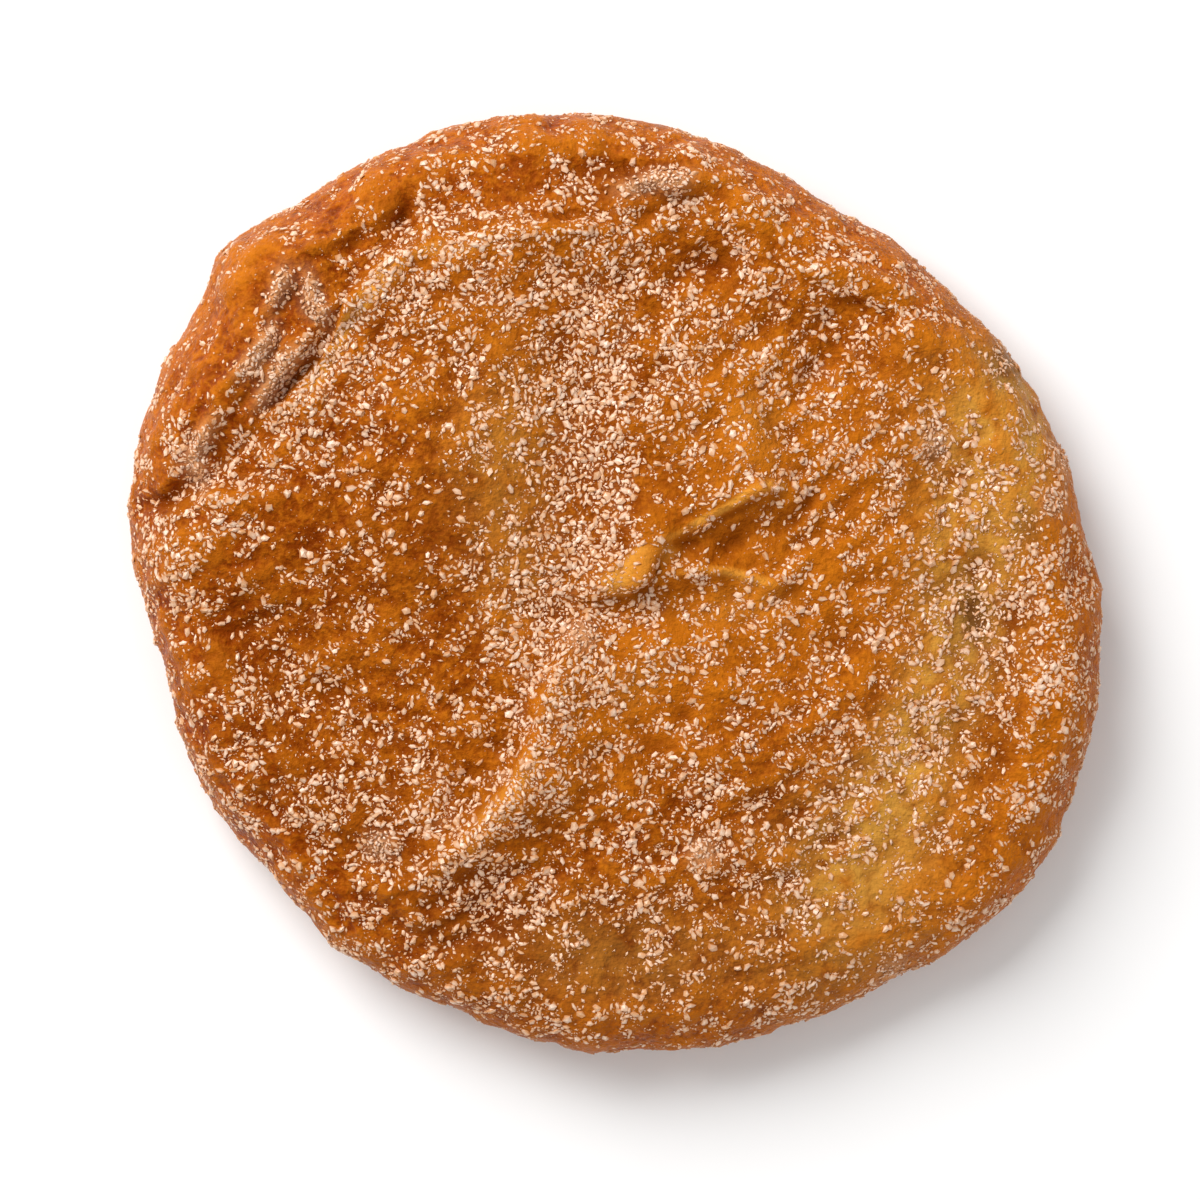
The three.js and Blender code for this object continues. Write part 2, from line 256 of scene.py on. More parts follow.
# Bands that stay pale: the path and half width of each.
PALE_BANDS = [
    ([(47, 23), (43, 13), (40, 3), (38, -8), (34.5, -18), (30, -27), (23, -35)], 3.2),
]
RUDDY_PATCHES = [
    (-44, 22, 16, 8, 58, 0.8),
    (-29, 26, 11, 6, 50, 0.45),
    (-50, -6, 15, 6, 80, 0.7),
    (-38, -30, 16, 6, -48, 0.7),
    (-14, -46, 12, 5, -20, 0.5),
    (-18, 46, 16, 5, 22, 0.5),
    (8, 40, 10, 5, -5, 0.2),
    (2, -12, 5, 4, 0, 0.4),
    (2, 46, 14, 5, 0, 0.5),
    (21, -20, 10, 7, 30, 0.35),
]
# Dark patches: partly darker dough, partly painted shade in pits, creases, the pocket under the upper lip,
# the hollows and the pillow's shaded middle.
DARK_AND_SHADE_PATCHES = [
    (-38, 27, 6, 3, 50, 0.1),
    (-24, 43, 2.5, 1.6, 60, 0.6),
    (-51, 9, 2.5, 1.2, 15, 0.7),
    (11, 36.5, 2.6, 1.6, 5, 0.7),
    (3, 46.5, 4, 1.5, 5, 0.5),
    (-15, -34, 5, 3, 30, 0.4),
    (-43, -3, 4, 4, 0, 0.2),
    (-43, -18, 4, 4, 0, 0.4),
    (-34, -25, 5, 4, 0, 0.35),
    (-30, 3, 10, 6, 20, 0.45),
    (-19, 8, 5, 4, 0, 0.3),
    (-1, 20, 6, 13, 0, 0.3),
    (12.5, 4.8, 6, 2, 22, 0.45),
    (12, -27, 9, 6, 0, 0.3),
    (-28, -27, 9, 6, -35, 0.45),
    (-45, -10, 7, 7, 80, 0.25),
    (-14, -42, 9, 5, 0, 0.3),
    (4, -2.5, 6, 1.1, 4, 0.35),
    (-16, -39, 8, 4, 0, 0.3),
    (4, -44, 16, 5, 0, 0.2),
]
SCORCHED_SPOTS = [
    (41, -4, 1.8, 3.2, 10, 0.9),
    (47, 6, 1.4, 2.2, 0, 0.7),
    (45, 25, 1.6, 2.2, 20, 0.8),
    (4, -45, 18, 5, 0, 0.25),
]

# Crests painted gold, each a path, its half width, how golden it is and how much more sugar lies on it:
# partly the gold of fried dough, partly painted light where the crests catch the light.
LIT_GOLDEN_CRESTS = [
    ([(-3.8, -1.1), (-1.2, -0.4), (0.8, 0.6), (2.5, 2), (4.3, 4.4)], 1.3, 1.1, 0),
    ([(4.8, 5), (7.9, 6.1), (11.4, 7.6), (14.1, 9.4), (15.4, 10.1), (19.1, 10.6)], 0.45, 0.9, 0),
    (LOWER_LIP, 0.45, 0.55, 0),
    (LONG_RIDGE, 1.5, 0.5, 0.75),
    ([(-40.8, 17), (-38, 19), (-35, 21.6), (-32.2, 26), (-29.9, 30.4), (-25, 36), (-19, 38.2), (-11, 39.6)],
     1.1, 1.0, 0.75),
    (NOTCH_FOLD[:4], 0.8, 0.7, 0.75),
]

# Rim band that fries to orange, by its inset from the outline, the depth at which hollows get their full
# painted shade and raised parts their full painted light, and how often the crust is smoothed to find them.
RIM_BAND = (3.0, 10.0)
HOLLOW_DEPTH = 0.5
HOLLOW_PASSES = 28

# Lumps of sugar in the solid: the rule that spreads them, and the loose sugar on them.
LUMP_COUNT = 46
LUMP_REACH = 0.93
LUMP_STRAY = 0.25
LUMP_STRAY_RATE = 3.3
LUMP_INSET = 3.5
GOLDEN_TURN = math.pi * (3 - math.sqrt(5))
LUMP_SUGAR = 0.2
LUMP_SUGAR_REACH = 0.7

# Sugar: the grains of each kind, coarsest first: number, shortest and longest length, sides of their
# blocks, how strongly they gather where the sugar is dense and how white they are. Some of the places that
# are tried turn out to be taken, so that more are tried than there are grains.
SUGAR_KINDS = [
    dict(name="sugar_crystals", count=9500, size=(0.8, 1.4), sides=5, gather=1.7, white=1.0),
    dict(name="sugar_flakes", count=12800, size=(0.5, 0.85), sides=4, gather=1.5, white=1.0),
    dict(name="sugar_grains", count=19500, size=(0.3, 0.55), sides=3, gather=1.1, white=0.85),
    dict(name="sugar_grit", count=19500, size=(0.14, 0.3), sides=3, gather=0.7, white=0.6),
]
TRIES_PER_GRAIN = 3

# Clusters of sugar, each (x, y, reach), the folds that hold sugar, and the grains that are heaped on both.
CLUSTERS = [
    (36.5, 16, 1.0),
    (10, -31, 1.0),
    (50, 9, 0.8),
    (52, 14, 0.8),
    (32, -45, 1.0),
    (-4, -6, 1.0),
    (-27, -30, 0.9),
]
SUGARED_FOLDS = [FINGER, SHORT_RIDGE, INNER_RIDGE[:3], OUTER_RIDGE[2:], LEFT_RIDGE[:3], UPPER_RIM_FOLD]
FOLD_SUGAR_REACH = 0.7
CLUSTER_GRAINS = 700
CLUSTER_SIZE = (0.4, 0.8)
CLUSTER_SIDES = 5
CLUSTER_HEAP = 0.3
CLUSTER_WHITE = 1.6

# How close grains may lie, how far they lean, how their blocks narrow, peak, stretch and stray, how their
# tints spread, and how much of their whiteness is left where they lie alone.
GRAIN_SPACING = 0.44
GRAIN_TILT = 0.16
GRAIN_TOP = 0.8
GRAIN_PEAK = 0.35
GRAIN_BREADTH = (0.35, 0.8)
GRAIN_THICKNESS = (0.24, 0.45)
GRAIN_STRAY = 0.22
GRAIN_STRAY_LIMIT = 1.5
TINT_SPREAD = (1.5, 1.4)
SPARSE_TINT = 0.7

# Share of the skin that sugar takes, and how clumpy it lies: grain of the clumps, how strong they are and
# where their clouds are taken.
EVEN_DENSITY = 0.46
SIDE_DENSITY = 0.14
BASE_DENSITY = 0.24
CAKED_DENSITY = 0.9
THINNEST_SUGAR = 0.06
SUGAR_CLUMPS = [(1.5, 1.0), (2.9, 0.6), (7.5, 0.35)]
CLUMP_SHIFT = 50

# Specks of cinnamon.
CINNAMON_SPECKS = 150
CINNAMON_SIZE = (0.1, 0.28)
CINNAMON_SIDES = 4
CINNAMON_SEED = SEED + 9

# Stage: the white of the surroundings, the place and size in metres and the power in watts of each light,
# and the width of the floor in metres.
SURROUNDINGS = 0.48
LIGHTS = [
    dict(name="key", place=(-0.46, 0.53, 0.65), size=0.6, power=10.0),
    dict(name="fill", place=(0.6, -0.5, 0.7), size=0.8, power=1.5),
]
FLOOR_METRES = 6


# Small helpers for picking, finishing and reading pieces.
def pick(piece):
    bpy.ops.object.select_all(action="DESELECT")
    piece.select_set(True)
    bpy.context.view_layer.objects.active = piece


def finish_with(piece, kind, **settings):
    """Adds a modifier, sets it and applies it."""
    modifier = piece.modifiers.new(kind, kind)
    for key, value in settings.items():
        setattr(modifier, key, value)
    pick(piece)
    bpy.ops.object.modifier_apply(modifier=modifier.name)


def read_points(piece):
    """Places and outward normals of a piece's points, in millimetres."""
    count = len(piece.data.vertices)
    places = np.empty(count * 3, np.float32)
    normals = np.empty(count * 3, np.float32)
    piece.data.vertices.foreach_get("co", places)
    piece.data.vertex_normals.foreach_get("vector", normals)
    return places.reshape(-1, 3).astype(float) / MM, normals.reshape(-1, 3).astype(float)


def write_points(piece, places):
    piece.data.vertices.foreach_set("co", (places * MM).astype(np.float32).ravel())
    piece.data.update()


def write_attribute(piece, name, values, domain="POINT"):
    attribute = piece.data.attributes.new(name, "FLOAT", domain)
    attribute.data.foreach_set("value", np.asarray(values, np.float32))


def smoothstep(values, low, high):
    share = np.clip((values - low) / (high - low), 0, 1)
    return share * share * (3 - 2 * share)


def bell(distance, spread):
    return np.exp(-((distance / spread) ** 2) / 2)


def patches_at(xy, patches):
    """Sum of soft oval patches at points of the top."""
    total = np.zeros(len(xy))
    for x, y, along, across, turn, amount in patches:
        away = xy - (x, y)
        c, s = math.cos(math.radians(turn)), math.sin(math.radians(turn))
        total += amount * bell(away @ (c, s), along) * bell(away @ (-s, c), across)
    return total


def clouds_at(places, grain):
    """Cloudy values from about -1 to 1 at points, with the given grain in millimetres."""
    return np.array([noise.noise(Vector(place)) for place in places / grain])


# Strokes: folds and creases along smooth curves on the top.
def smooth_line(path):
    """Points of a smooth curve through a path."""
    path = np.array(path, float)
    ends = np.vstack([2 * path[0] - path[1], path, 2 * path[-1] - path[-2]])
    t = np.linspace(0, 1, STROKE_STEPS, endpoint=False)[:, None]
    spans = []
    for a, b, c, d in zip(ends, ends[1:], ends[2:], ends[3:]):
        bend = (2 * a - 5 * b + 4 * c - d) * t**2 + (3 * b - a - 3 * c + d) * t**3
        spans.append((2 * b + (c - a) * t + bend) / 2)
    return np.vstack([*spans, path[-1:]])


def stroke_at(xy, path, left, right):
    """The points near a stroke, its strength there and the direction to its right."""
    line = smooth_line(path)
    reach = STROKE_REACH * max(left, right)
    inside = np.all((xy > line.min(0) - reach) & (xy < line.max(0) + reach), axis=1)
    near = np.nonzero(inside)[0]
    steps = np.diff(line, axis=0)
    lengths = np.linalg.norm(steps, axis=1)
    start = np.concatenate([[0], np.cumsum(lengths)])
    from_start = xy[near][:, None] - line[:-1]
    share = np.clip((from_start * steps).sum(2) / lengths**2, 0, 1)
    away = from_start - share[..., None] * steps
    distance = np.linalg.norm(away, axis=2)
    row = np.arange(len(near))
    closest = distance.argmin(axis=1)
    step = steps[closest]
    gap = away[row, closest]
    on_left = step[:, 0] * gap[:, 1] - step[:, 1] * gap[:, 0] > 0
    width = np.where(on_left, left, right)
    progress = (start[closest] + share[row, closest] * lengths[closest]) / start[-1]
    fade = smoothstep(progress, -STROKE_TAPER / 2, STROKE_TAPER)
    fade = fade * smoothstep(1 - progress, -STROKE_TAPER / 2, STROKE_TAPER)
    to_right = np.stack([step[:, 1], -step[:, 0]], axis=1) / lengths[closest][:, None]
    return near, bell(distance[row, closest], width) * fade, to_right


def wandered(xy):
    """Points of the top, shifted so that straight folds wander, and how high or strong folds are there."""
    flat = np.column_stack([xy, np.zeros(len(xy))])
    shift = [clouds_at(flat + offset, FOLD_GRAIN) for offset in WANDER_SHIFTS]
    return xy + FOLD_WANDER * np.stack(shift, axis=1), 1 + FOLD_UNEVEN * clouds_at(flat, FOLD_GRAIN)


class Rim:
    """The fritter's outline seen from above, measured on the crust."""

    def __init__(self, places):
        angles = np.degrees(np.arctan2(places[:, 1], places[:, 0])) % 360
        radii = np.hypot(places[:, 0], places[:, 1])
        self.angles = np.arange(360)
        self.radii = np.zeros(360)
        np.maximum.at(self.radii, angles.astype(int), radii)

    def radius(self, degrees):
        return np.interp(np.asarray(degrees) % 360, self.angles, self.radii, period=360)

    def inset(self, xy):
        """How far points lie inside the outline."""
        degrees = np.degrees(np.arctan2(xy[:, 1], xy[:, 0]))
        return self.radius(degrees) - np.hypot(xy[:, 0], xy[:, 1])

    def arc(self, start, span, inset):
        """A path along the outline, at an inset from it."""
        degrees = np.linspace(start, start + span, RIM_LINE_POINTS)
        radii = self.radius(degrees) - inset
        turns = np.radians(degrees)
        return np.stack([radii * np.cos(turns), radii * np.sin(turns)], axis=1)


# The crust: a copy of the solid, remeshed finely and worked over by folds, lines, blisters and cloudy relief.
def copy_solid(node, name):
    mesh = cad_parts[node].data.copy()
    mesh.name = name
    mesh.materials.clear()
    piece = bpy.data.objects.new(name, mesh)
    bpy.context.scene.collection.objects.link(piece)
    pick(piece)
    bpy.ops.object.mode_set(mode="EDIT")
    bpy.ops.mesh.select_all(action="SELECT")
    bpy.ops.mesh.remove_doubles(threshold=MERGE_DISTANCE * MM)
    bpy.ops.object.mode_set(mode="OBJECT")
    return piece


def crinkles_at(xy):
    """Height of the crinkles at points of the top: cloudy relief drawn out along each place's turn."""
    height = np.zeros(len(xy))
    for number, (x, y, along, across, turn, rise) in enumerate(CRINKLES):
        away = xy - (x, y)
        c, s = math.cos(math.radians(turn)), math.sin(math.radians(turn))
        u, v = away @ (c, s), away @ (-s, c)
        strength = rise * bell(u, along) * bell(v, across)
        near = np.nonzero(strength > LEAST_CRINKLE)[0]
        drawn_out = [u[near] / CRINKLE_WIDTHS[0], v[near] / CRINKLE_WIDTHS[1], np.full(len(near), number)]
        height[near] += strength[near] * clouds_at(np.stack(drawn_out, axis=1), 1.0)
    return height


def refine_folds(crust):
    """Divides the faces around the folds, so that their edges come out crisp."""
    places, normals = read_points(crust)
    near = np.zeros(len(places), bool)
    for fold in FOLDS:
        numbers, strength, _ = stroke_at(places[:, :2], fold.path, FOLD_MARGIN, FOLD_MARGIN)
        near[numbers[strength > FOLD_EDGE]] = True
    near &= normals[:, 2] > 0
    crust.data.polygons.foreach_set("select", np.zeros(len(crust.data.polygons), bool))
    crust.data.edges.foreach_set("select", np.zeros(len(crust.data.edges), bool))
    crust.data.vertices.foreach_set("select", near)
    pick(crust)
    bpy.ops.object.mode_set(mode="EDIT")
    bpy.ops.mesh.subdivide(number_cuts=1)
    bpy.ops.object.mode_set(mode="OBJECT")


def press_folds(xy, facing, lift, slide):
    """Adds the folds and creases to the lift and the slide of points of the top."""
    wandering, uneven = wandered(xy)
    for fold in FOLDS:
        near, strength, to_right = stroke_at(wandering, fold.path, fold.left, fold.right)
        strength = strength * uneven[near]
        lift[near] += fold.rise * strength * facing[near]
        slide[near] += fold.lean * (strength * facing[near])[:, None] * to_right


def press_rim_lines(xy, facing, lift, rim, draw):
    """Adds the stretch lines along the rim to the lift of points of the top."""
    for _ in range(RIM_LINES):
        path = rim.arc(draw.uniform(0, 360), draw.uniform(*RIM_LINE_SPAN), draw.uniform(*RIM_LINE_INSET))
        width = draw.uniform(*RIM_LINE_WIDTH)
        near, strength, _ = stroke_at(xy, path, width, width)
        lift[near] += draw.uniform(-1, 1) * RIM_LINE_RISE * strength * facing[near]


def raise_blisters(xy, facing, lift, rim, draw):
    """Adds the blisters to the lift of points of the top."""
    for _ in range(BLISTERS):
        angle = draw.uniform(0, 360)
        reach = math.sqrt(draw.uniform(0, 1)) * float(rim.radius(angle))
        middle = reach * np.array([math.cos(math.radians(angle)), math.sin(math.radians(angle))])
        away = np.linalg.norm(xy - middle, axis=1)
        lift += draw.uniform(*BLISTER_RISE) * bell(away, draw.uniform(*BLISTER_SIZE)) * facing


def fold_crust(crust):
    """Works crinkles, folds, rim lines and blisters into the top."""
    places, normals = read_points(crust)
    xy = places[:, :2].copy()
    facing = smoothstep(normals[:, 2], *FOLDED_SKIN)
    rim = Rim(places)
    draw = np.random.default_rng(SEED)
    lift = crinkles_at(xy) * facing
    slide = np.zeros_like(xy)
    press_folds(xy, facing, lift, slide)
    press_rim_lines(xy, facing, lift, rim, draw)
    raise_blisters(xy, facing, lift, rim, draw)
    places[:, 2] += lift
    places[:, :2] += slide
    write_points(crust, places)


def roughen_crust(crust):
    """Swells and dents the dough by layers of cloudy relief."""
    for grain, height in DOUGH_RELIEF:
        clouds = bpy.data.textures.new("dough_clouds", "CLOUDS")
        clouds.noise_scale = grain * MM
        clouds.noise_depth = 2
        settings = dict(texture=clouds, texture_coords="LOCAL", strength=height * MM, mid_level=0.5)
        finish_with(crust, "DISPLACE", **settings)


def settle_crust(crust):
    """Keeps the underside above the sugar that it lies on, with its own soft unevenness."""
    places, _ = read_points(crust)
    low = places[:, 2] < UNDERSIDE_LIFT
    places[low, 2] = UNDERSIDE_LIFT + UNDERSIDE_UNEVEN * (places[low, 2] - UNDERSIDE_LIFT)
    places[:, 2] = np.maximum(places[:, 2], LOWEST_CRUST)
    write_points(crust, places)


def hollows_of(crust):
    """How deep each point lies below the smoothed crust, in millimetres: positive in creases."""
    places, normals = read_points(crust)
    edges = np.empty(len(crust.data.edges) * 2, np.int32)
    crust.data.edges.foreach_get("vertices", edges)
    a, b = edges.reshape(-1, 2).T
    count = len(places)
    neighbours = np.bincount(np.concatenate([a, b]), minlength=count)
    smooth = places.copy()
    for _ in range(HOLLOW_PASSES):
        total = np.empty_like(smooth)
        for axis in range(3):
            values = np.concatenate([smooth[b, axis], smooth[a, axis]])
            total[:, axis] = np.bincount(np.concatenate([a, b]), weights=values, minlength=count)
        smooth = total / neighbours[:, None]
    return ((smooth - places) * normals).sum(axis=1)


def gold_and_light_at(xy):
    """How golden the dough is painted at points of the top: soft patches and the crests of folds, partly
    painted light.
    """
    gold = patches_at(xy, GOLDEN_PATCHES)
    wandering, uneven = wandered(xy)
    for path, width, amount, _ in LIT_GOLDEN_CRESTS:
        near, strength, _ = stroke_at(wandering, path, width, width)
        gold[near] += amount * strength * uneven[near]
    return gold


def caked_at(xy):
    """How caked with sugar the top is at points: the named clusters and the sugared folds."""
    caked = np.zeros(len(xy))
    for x, y, reach in CLUSTERS:
        caked += bell(np.hypot(xy[:, 0] - x, xy[:, 1] - y), reach)
    wandering, _ = wandered(xy)
    for fold in SUGARED_FOLDS:
        near, strength, _ = stroke_at(wandering, fold, FOLD_SUGAR_REACH, FOLD_SUGAR_REACH)
        caked[near] += strength
    return caked


def paleness_at(xy):
    """How pale the dough is at points of the top: soft patches and bands."""
    pale = patches_at(xy, PALE_PATCHES)
    for path, width in PALE_BANDS:
        near, strength, _ = stroke_at(xy, path, width, width)
        pale[near] += strength
    return pale


def colour_and_shade_crust(crust):
    """Writes how each point of the crust has fried, where it gets painted shade and light, and how much sugar
    lies on it, each from 0 to 1.
    """
    places, normals = read_points(crust)
    xy = places[:, :2]
    upper = smoothstep(normals[:, 2], *PATCHED_TOP)
    rim = Rim(places)
    band = 1 - smoothstep(rim.inset(xy), *RIM_BAND)
    write_attribute(crust, "rim_band", np.maximum(band, 1 - upper))
    write_attribute(crust, "pale", np.clip(paleness_at(xy), 0, 1) * upper)
    for name, patches in (("ruddy", RUDDY_PATCHES), ("dark", DARK_AND_SHADE_PATCHES), ("scorched", SCORCHED_SPOTS)):
        write_attribute(crust, name, np.clip(patches_at(xy, patches), 0, 1) * upper)
    write_attribute(crust, "golden", np.clip(gold_and_light_at(xy), 0, 1) * upper)
    write_attribute(crust, "caked", np.clip(caked_at(xy), 0, 1) * upper)
    # How deep each point lies, for painted shade in the creases and painted light on the raised parts.
    write_attribute(crust, "hollow", np.clip(hollows_of(crust) / HOLLOW_DEPTH, -1, 1) * 0.5 + 0.5)
    write_attribute(crust, "dusting", sugar_density(places, normals))


def make_crust():
    crust = copy_solid("fritter", "crust")
    finish_with(crust, "SUBSURF", levels=1, render_levels=1)
    finish_with(crust, "REMESH", mode="VOXEL", voxel_size=SKIN_STEP * MM)
    finish_with(crust, "SMOOTH", **SKIN_SMOOTHING)
    refine_folds(crust)
    fold_crust(crust)
    roughen_crust(crust)
    finish_with(crust, "SMOOTH", **LAST_SMOOTHING)
    settle_crust(crust)
    colour_and_shade_crust(crust)
    pick(crust)
    bpy.ops.object.shade_smooth()
    crust.data.materials.append(crust_material())
    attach(crust, "root")
    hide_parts("fritter")
    return crust


# Sugar: where it lies, the shapes of its grains and the pieces that they make.
def sugar_density(places, normals):
    """Share of the crust that sugar covers at points: patchy on the top, even on the side and underside."""
    clumps = np.zeros(len(places))
    for grain, strength in SUGAR_CLUMPS:
        clumps += strength * clouds_at(places + CLUMP_SHIFT, grain)
    xy = places[:, :2]
    top = EVEN_DENSITY + patches_at(xy, SUGAR_PATCHES) + CAKED_DENSITY * caked_at(xy)
    wandering, _ = wandered(xy)
    for path, width, _, sugar in LIT_GOLDEN_CRESTS:
        near, strength, _ = stroke_at(wandering, path, width, width)
        top[near] += sugar * strength
    upper = smoothstep(normals[:, 2], *SUGARED_TOP)
    lower = smoothstep(-normals[:, 2], *SUGARED_BASE)
    density = top * upper + (SIDE_DENSITY * (1 - lower) + BASE_DENSITY * lower) * (1 - upper)
    return np.clip(density + clumps, THINNEST_SUGAR, 1)


class Skin:
    """The triangles of the crust, for laying grains on it."""

    def __init__(self, crust):
        places, normals = read_points(crust)
        crust.data.calc_loop_triangles()
        corners = np.empty(len(crust.data.loop_triangles) * 3, np.int32)
        crust.data.loop_triangles.foreach_get("vertices", corners)
        self.corners = corners.reshape(-1, 3)
        self.places = places
        self.normals = normals
        self.rim = Rim(places)
        a, b, c = (places[self.corners[:, i]] for i in range(3))
        self.areas = np.linalg.norm(np.cross(b - a, c - a), axis=1) / 2
        self.middles = (a + b + c) / 3
        density = sugar_density(places, normals)
        self.density = density[self.corners].mean(axis=1)

    def draw_spots(self, draw, weights, count):
        """Random places on the skin, with the skin's normals and the density of the sugar there."""
        chances = self.areas * weights
        picked = draw.choice(len(self.corners), size=count, p=chances / chances.sum())
        shares = draw.dirichlet((1, 1, 1), size=count)
        corners = self.corners[picked]
        spots = (self.places[corners] * shares[..., None]).sum(axis=1)
        normals = (self.normals[corners] * shares[..., None]).sum(axis=1)
        return spots, normals / np.linalg.norm(normals, axis=1, keepdims=True), self.density[picked]


class Room:
    """Keeps grains apart: remembers where grains lie, by small cells of space."""

    NEXT_CELLS = [(x, y, z) for x in (-1, 0, 1) for y in (-1, 0, 1) for z in (-1, 0, 1)]

    def __init__(self):
        self.cell = SUGAR_KINDS[0]["size"][1] * GRAIN_SPACING
        self.taken = {}

    def crowded(self, home, spot, size):
        """Whether a grain would lie too close to another one."""
        x, y, z = spot
        for step in self.NEXT_CELLS:
            cell = (home[0] + step[0], home[1] + step[1], home[2] + step[2])
            for other, other_size in self.taken.get(cell, ()):
                apart = GRAIN_SPACING * (size + other_size) / 2
                if (x - other[0]) ** 2 + (y - other[1]) ** 2 + (z - other[2]) ** 2 < apart * apart:
                    return True
        return False

    def settle(self, spots, sizes, count):
        """Numbers of the first spots that keep their distance from all grains before them."""
        homes = np.floor(spots / self.cell).astype(int).tolist()
        kept = []
        for number, (home, spot, size) in enumerate(zip(homes, spots.tolist(), sizes.tolist())):
            if self.crowded(home, spot, size):
                continue
            self.taken.setdefault(tuple(home), []).append((spot, size))
            kept.append(number)
            if len(kept) == count:
                break
        return np.array(kept)


def model_grain(sides):
    """One grain, a block of unit size that narrows and peaks towards its top: its points and faces."""
    bpy.ops.object.select_all(action="DESELECT")
    bpy.ops.mesh.primitive_cone_add(vertices=sides, radius1=0.5, radius2=0.5 * GRAIN_TOP, depth=1)
    grain = bpy.context.active_object
    for part in (*grain.data.edges, *grain.data.polygons):
        part.select = False
    for vertex in grain.data.vertices:
        vertex.select = vertex.co.z > 0
    bpy.ops.object.mode_set(mode="EDIT")
    bpy.ops.mesh.poke(offset=GRAIN_PEAK)
    bpy.ops.object.mode_set(mode="OBJECT")
    points = np.array([vertex.co for vertex in grain.data.vertices])
    faces = [tuple(face.vertices) for face in grain.data.polygons]
    bpy.data.objects.remove(grain)
    return points, faces


def turned_axes(draw, normals):
    """Three axes for each grain: the third leans a little from the skin's normal, the others spin freely."""
    lean = normals + GRAIN_TILT * draw.normal(size=normals.shape)
    up = lean / np.linalg.norm(lean, axis=1, keepdims=True)
    spin = draw.normal(size=normals.shape)
    along = np.cross(spin, up)
    along /= np.linalg.norm(along, axis=1, keepdims=True)
    return np.stack([along, np.cross(up, along), up], axis=1)


def lay_grains(name, sides, grains, draw, white=1.0):
    """One piece of many grains, each with its own size, proportions, turn and tint, whiter on dense beds."""
    spots, normals, beds, sizes = grains
    points, faces = model_grain(sides)
    count = len(spots)
    breadth = draw.uniform(*GRAIN_BREADTH, count)
    thickness = breadth * draw.uniform(*GRAIN_THICKNESS, count)
    stretch = np.stack([np.ones(count), breadth, thickness], axis=1)
    stray = draw.normal(size=(count, len(points), 3)).clip(-GRAIN_STRAY_LIMIT, GRAIN_STRAY_LIMIT)
    bodies = points * (1 + GRAIN_STRAY * stray) * (stretch * sizes[:, None])[:, None]
    places = np.einsum("nki,nij->nkj", bodies, turned_axes(draw, normals)) + spots[:, None]
    places[..., 2] = np.maximum(places[..., 2], LOWEST_SUGAR)
    mesh = bpy.data.meshes.new(name)
    firsts = range(0, count * len(points), len(points))
    copies = [tuple(first + corner for corner in face) for first in firsts for face in faces]
    mesh.from_pydata(places.reshape(-1, 3) * MM, [], copies)
    mesh.update()
    piece = bpy.data.objects.new(name, mesh)
    bpy.context.scene.collection.objects.link(piece)
    tints = white * draw.beta(*TINT_SPREAD, count) * (SPARSE_TINT + (1 - SPARSE_TINT) * beds)
    write_attribute(piece, "tint", np.repeat(tints, len(points)))
    # height on the grain, painted lighter at the top and darker at the bottom by the sugar material
    write_attribute(piece, "crown", np.tile((points[:, 2] + 0.5) / (1 + GRAIN_PEAK), count))
    # random per face, for painted reflections on the facets
    write_attribute(piece, "facet_reflection", draw.uniform(0, 1, count * len(faces)), "FACE")
    return piece


def dress(piece, material):
    """Gives a piece of grains its material and body."""
    piece.data.materials.append(material)
    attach(piece, "root")


def scatter(kind, skin, room, seed, material):
    """Grains of one kind over the whole skin, closer together where the sugar is dense."""
    draw = np.random.default_rng(seed)
    tries = kind["count"] * TRIES_PER_GRAIN
    spots, normals, beds = skin.draw_spots(draw, skin.density ** kind["gather"], tries)
    sizes = draw.uniform(*kind["size"], tries)
    kept = room.settle(spots, sizes, kind["count"])
    grains = [values[kept] for values in (spots, normals, beds, sizes)]
    dress(lay_grains(kind["name"], kind["sides"], grains, draw, kind["white"]), material)


def lump_places(rim):
    """Where the solid's lumps of sugar are: spread by the golden angle, each a little astray."""
    lumps = []
    for number in range(LUMP_COUNT):
        angle = number * GOLDEN_TURN + LUMP_STRAY * math.sin(LUMP_STRAY_RATE * number)
        reach = LUMP_REACH * math.sqrt((number + 0.5) / LUMP_COUNT)
        radius = reach * (float(rim.radius(math.degrees(angle))) - LUMP_INSET)
        lumps.append((radius * math.cos(angle), radius * math.sin(angle)))
    return lumps


def cluster_weights(skin):
    """Where clusters of sugar lie: on the caked places and on the solid's lumps."""
    xy = skin.middles[:, :2]
    weights = caked_at(xy)
    for x, y in lump_places(skin.rim):
        weights += LUMP_SUGAR * bell(np.hypot(xy[:, 0] - x, xy[:, 1] - y), LUMP_SUGAR_REACH)
    return np.where(skin.middles[:, 2] > WIDEST_LEVEL, weights, 0)


def make_clusters(skin, room, material):
    """Grains heaped on the clusters."""
    draw = np.random.default_rng(SEED)
    spots, normals, beds = skin.draw_spots(draw, cluster_weights(skin), CLUSTER_GRAINS * TRIES_PER_GRAIN)
    spots = spots + normals * draw.uniform(0, CLUSTER_HEAP, len(spots))[:, None]
    sizes = draw.uniform(*CLUSTER_SIZE, len(spots))
    kept = room.settle(spots, sizes, CLUSTER_GRAINS)
    grains = [values[kept] for values in (spots, normals, beds, sizes)]
    dress(lay_grains("sugar_clusters", CLUSTER_SIDES, grains, draw, CLUSTER_WHITE), material)


def make_cinnamon(skin):
    """Specks of cinnamon all over the skin."""
    draw = np.random.default_rng(CINNAMON_SEED)
    spots, normals, beds = skin.draw_spots(draw, np.ones(len(skin.areas)), CINNAMON_SPECKS)
    sizes = draw.uniform(*CINNAMON_SIZE, CINNAMON_SPECKS)
    specks = lay_grains("cinnamon_specks", CINNAMON_SIDES, (spots, normals, beds, sizes), draw)
    dress(specks, cinnamon_material())


def make_toppings(crust):
    """Everything that sticks to the crust."""
    skin = Skin(crust)
    room = Room()
    material = sugar_material()
    make_clusters(skin, room, material)
    for number, kind in enumerate(SUGAR_KINDS):
        scatter(kind, skin, room, SEED + 1 + number, material)
    make_cinnamon(skin)


